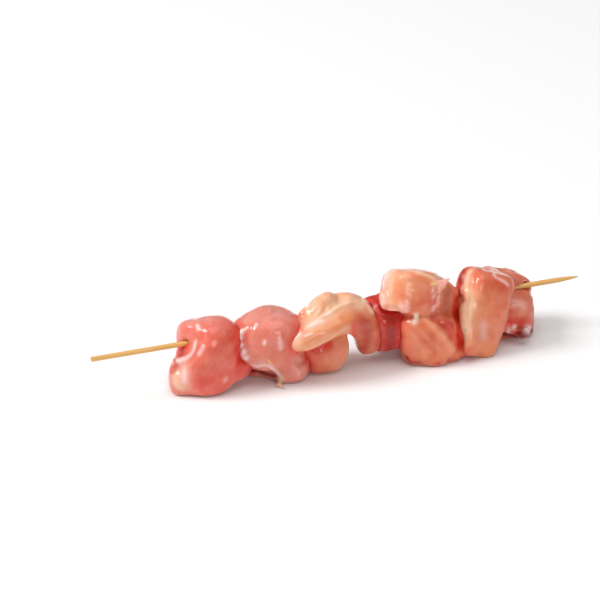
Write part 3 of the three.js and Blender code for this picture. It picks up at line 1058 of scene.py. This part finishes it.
def wet_breast(name, fibre):
    """Wet raw breast with fibres along a direction."""
    material = bpy.data.materials.new(name)
    material.use_nodes = True
    tree = material.node_tree
    shader = tree.nodes["Principled BSDF"]
    coords = add_node(tree, "ShaderNodeTexCoord").outputs["Object"]
    layer = add_node(tree, "ShaderNodeAttribute", attribute_name="flesh")

    mottle = add_node(tree, "ShaderNodeTexNoise",
                      {"Vector": coords, "Scale": 1 / MOTTLE_SIZE, "Detail": 3.0})
    turned = fibre.to_track_quat("Z", "Y").inverted().to_euler()
    along = add_node(tree, "ShaderNodeMapping", {"Vector": coords, "Rotation": turned}, vector_type="POINT")
    drawn = add_node(tree, "ShaderNodeMapping", {"Vector": along.outputs["Vector"],
                                                 "Scale": (1, 1, FIBRE_SQUEEZE)})
    grain = add_node(tree, "ShaderNodeTexNoise",
                     {"Vector": drawn.outputs["Vector"], "Scale": 1 / FIBRE_WIDTH, "Detail": 2.0})

    def between(value, low, high, bottom, top):
        return add_node(tree, "ShaderNodeMapRange", {"Value": value, "From Min": low, "From Max": high,
                                                     "To Min": bottom, "To Max": top}).outputs["Result"]

    clouds = between(mottle.outputs["Fac"], 0.3, 0.7, 1.16, 0.86)
    lines = between(grain.outputs["Fac"], 0.35, 0.75, 1.03, 0.95)
    depth = add_node(tree, "ShaderNodeMath", {0: clouds, 1: lines}, operation="MULTIPLY").outputs["Value"]
    body = add_node(tree, "ShaderNodeGamma", {"Color": layer.outputs["Color"], "Gamma": depth})
    tree.links.new(body.outputs["Color"], shader.inputs["Base Color"])

    ripple = add_node(tree, "ShaderNodeTexNoise", {"Vector": coords, "Scale": 1 / RIPPLE_SIZE, "Detail": 2.0})
    fine = add_node(tree, "ShaderNodeBump", {"Height": grain.outputs["Fac"], "Strength": 0.15,
                                             "Distance": 0.3 * MM})
    wet = add_node(tree, "ShaderNodeBump", {"Height": ripple.outputs["Fac"], "Strength": 0.22,
                                            "Distance": 0.5 * MM, "Normal": fine.outputs["Normal"]})
    tree.links.new(wet.outputs["Normal"], shader.inputs["Normal"])
    tree.links.new(wet.outputs["Normal"], shader.inputs["Coat Normal"])

    for socket, value in WET_FLESH.items():
        shader.inputs[socket].default_value = value
    return material


for node, piece in meat.items():
    piece.data.materials.append(wet_breast("wet_raw_breast_" + node[-1], FIBRES[node]))
print("flesh materials:", len(meat))

# %% [markdown]
# ## Bamboo skewer
# A kebab skewer is split bamboo, turned round, cut blunt at one end and ground to a point at the
# other. A cylinder is turned afresh at the solid's size: rings are cut into it, and those near the
# end are drawn in for the ground point.

# %% Bamboo skewer
SKEWER_SIDES = 40
POINT_LENGTH = 15 * MM
POINT_RINGS = 12
POINT_RADIUS = 0.25 * MM
BLUNT_EDGE = 0.2 * MM

length = skewer_high.x - skewer_low.x
radius = (skewer_high.z - skewer_low.z) / 2
bpy.ops.object.select_all(action="DESELECT")
bpy.ops.mesh.primitive_cylinder_add(vertices=SKEWER_SIDES, radius=radius, depth=length - POINT_LENGTH,
                                    location=skewer_middle - Vector((POINT_LENGTH / 2, 0, 0)),
                                    rotation=(0, math.radians(90), 0))
stick = bpy.context.object
stick.name = "bamboo_stick"
bpy.ops.object.transform_apply(location=True, rotation=True, scale=True)


def select_faces(piece, wanted):
    """Selects, for edit mode, only the faces whose middle satisfies a test."""
    bpy.ops.object.mode_set(mode="EDIT")
    bpy.ops.mesh.select_mode(type="FACE")
    bpy.ops.mesh.select_all(action="DESELECT")
    bpy.ops.object.mode_set(mode="OBJECT")
    for face in piece.data.polygons:
        face.select = wanted(face)
    bpy.ops.object.mode_set(mode="EDIT")


select_faces(stick, lambda face: face.normal.x > 0.9)
taper_before = 1.0
for ring in range(1, POINT_RINGS + 1):
    share = ring / POINT_RINGS
    taper = POINT_RADIUS / radius + (1 - POINT_RADIUS / radius) * (1 - share ** 2.2)
    bpy.ops.mesh.extrude_region_move(TRANSFORM_OT_translate={"value": (POINT_LENGTH / POINT_RINGS, 0, 0)})
    centre = Vector((skewer_high.x - POINT_LENGTH * (1 - share), skewer_middle.y, skewer_middle.z))
    bpy.ops.transform.resize(value=(1, taper / taper_before, taper / taper_before), center_override=centre)
    taper_before = taper
bpy.ops.object.mode_set(mode="OBJECT")
select_faces(stick, lambda face: face.normal.x < -0.9)
bpy.ops.mesh.inset(thickness=BLUNT_EDGE)
bpy.ops.object.mode_set(mode="OBJECT")
only(stick)
bpy.ops.object.shade_smooth_by_angle(angle=math.radians(40))

print("skewer: %.0f mm long, %.2f mm thick" % (length / MM, 2 * radius / MM))

# %% [markdown]
# ## Turned bamboo
# Split bamboo that was turned and never varnished. It is straw yellow in soft clouds and a little
# dull, and long thin fibres run its length. Noise that is stretched along the stick draws them.

# %% Turned bamboo
BAMBOO_FIBRE = 0.5 * MM
BAMBOO_SQUEEZE = 0.03
BAMBOO_CLOUD = 14 * MM

bamboo = bpy.data.materials.new("turned_bamboo")
bamboo.use_nodes = True
tree = bamboo.node_tree
bamboo_shader = tree.nodes["Principled BSDF"]
coords = add_node(tree, "ShaderNodeTexCoord").outputs["Object"]
drawn = add_node(tree, "ShaderNodeMapping", {"Vector": coords, "Scale": (BAMBOO_SQUEEZE, 1, 1)})
fibres = add_node(tree, "ShaderNodeTexNoise", {"Vector": drawn.outputs["Vector"],
                                               "Scale": 1 / BAMBOO_FIBRE, "Detail": 3.0})
cloud = add_node(tree, "ShaderNodeTexNoise", {"Vector": coords, "Scale": 1 / BAMBOO_CLOUD, "Detail": 2.0})
ramp = add_node(tree, "ShaderNodeValToRGB", {"Fac": fibres.outputs["Fac"]})
ramp.color_ramp.elements[0].position = 0.3
ramp.color_ramp.elements[0].color = hex_colour("#b98238")
ramp.color_ramp.elements[1].position = 0.62
ramp.color_ramp.elements[1].color = hex_colour("#edc07c")
tone = add_node(tree, "ShaderNodeMix", {"Factor": cloud.outputs["Fac"], "A": ramp.outputs["Color"],
                                        "B": hex_colour("#e3ad5e")}, data_type="RGBA")
tree.links.new(tone.outputs["Result"], bamboo_shader.inputs["Base Color"])
ridges = add_node(tree, "ShaderNodeBump", {"Height": fibres.outputs["Fac"], "Strength": 0.4,
                                           "Distance": 0.1 * MM})
tree.links.new(ridges.outputs["Normal"], bamboo_shader.inputs["Normal"])
bamboo_shader.inputs["Roughness"].default_value = 0.5
stick.data.materials.append(bamboo)
print("bamboo fibres %.1f mm wide" % (BAMBOO_FIBRE / MM))

# %% [markdown]
# ## Hand over
# Every piece rides on the one rigid body, and takes the place of its plain solid.

# %% Hand over
for node, piece in meat.items():
    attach(piece, "root")
    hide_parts(node)
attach(stick, "root")
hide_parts("skewer")
print("solid model's box:", [[round(v, 4) for v in corner] for corner in cad_box])
